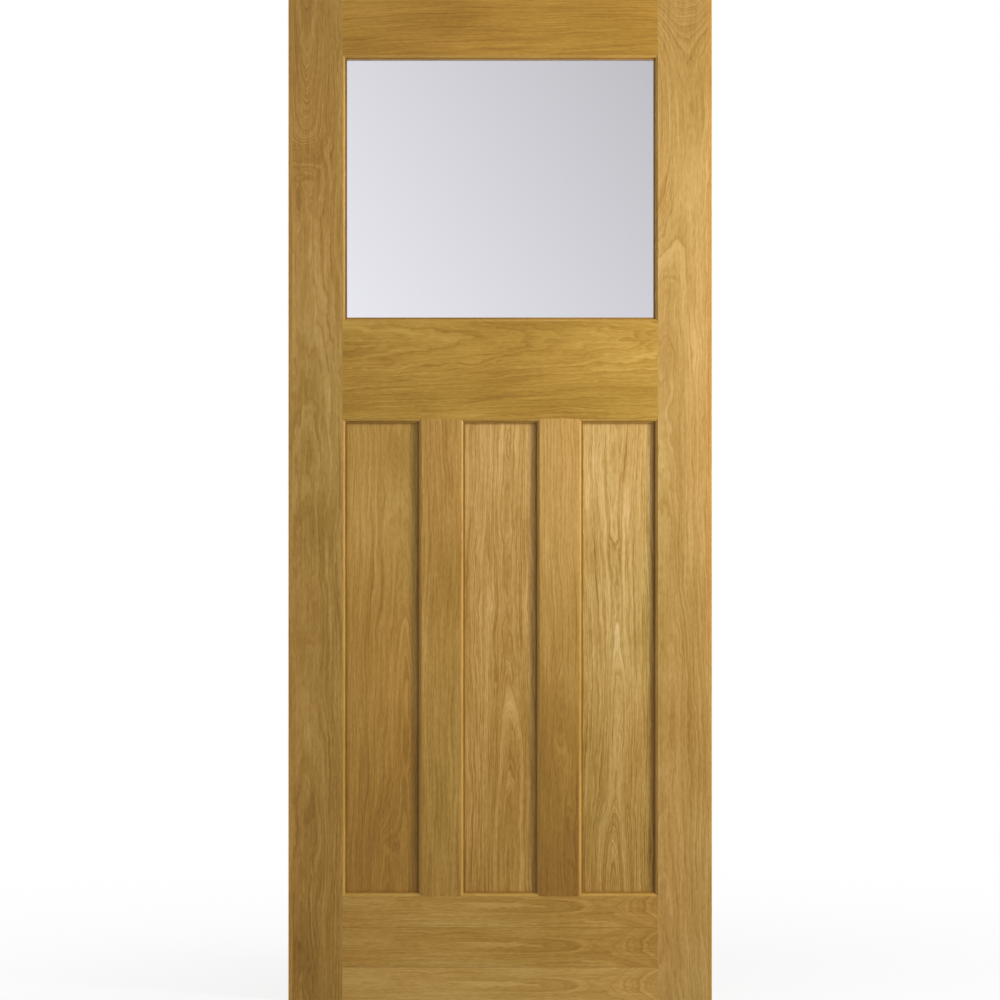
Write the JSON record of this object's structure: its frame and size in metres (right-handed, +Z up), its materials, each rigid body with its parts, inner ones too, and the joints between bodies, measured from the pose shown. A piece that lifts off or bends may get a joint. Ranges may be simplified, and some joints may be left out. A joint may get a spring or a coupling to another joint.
{
  "type": "glazed door",
  "caption": "Oak interior door leaf with one wide clear light at the top, and tall flat panels between muntins below.",
  "frame": {"origin": "on the hinge edge at floor level, in the middle of the leaf's thickness", "axes": "+X across the leaf from the hinge edge to the lock edge, +Y from the front face to the back face, +Z up"},
  "size_m": [0.838, 0.035, 1.981],
  "materials": {
    "oak_lipping": "satin lacquer on solid oak",
    "oak_veneer": "satin lacquer on oak veneer",
    "oak_panel": "satin lacquer on oak veneer",
    "softwood_core": "bare laminated softwood",
    "clear_glass": "clear",
    "glazing_tape": "matt foam tape"
  },
  "bodies": {
    "root": {"hinge_stile_edge_lipping": "oak_lipping", "lock_stile_edge_lipping": "oak_lipping", "hinge_stile_core": "softwood_core", "lock_stile_core": "softwood_core", "top_rail_core": "softwood_core", "middle_rail_core": "softwood_core", "bottom_rail_core": "softwood_core", "left_muntin_core": "softwood_core", "right_muntin_core": "softwood_core", "hinge_stile_veneers": "oak_veneer", "lock_stile_veneers": "oak_veneer", "top_rail_veneers": "oak_veneer", "middle_rail_veneers": "oak_veneer", "bottom_rail_veneers": "oak_veneer", "left_muntin_veneers": "oak_veneer", "right_muntin_veneers": "oak_veneer", "hinge_stile_moulding": "oak_lipping", "lock_stile_moulding": "oak_lipping", "top_rail_moulding": "oak_lipping", "middle_rail_upper_moulding": "oak_lipping", "middle_rail_lower_moulding": "oak_lipping", "bottom_rail_moulding": "oak_lipping", "left_muntin_left_moulding": "oak_lipping", "left_muntin_right_moulding": "oak_lipping", "right_muntin_left_moulding": "oak_lipping", "right_muntin_right_moulding": "oak_lipping", "left_panel": "oak_panel", "centre_panel": "oak_panel", "right_panel": "oak_panel", "glass_pane": "clear_glass", "front_glazing_tape": "glazing_tape", "back_glazing_tape": "glazing_tape", "left_bead": "oak_lipping", "right_bead": "oak_lipping", "top_bead": "oak_lipping", "bottom_bead": "oak_lipping"}
  },
  "joints": []
}
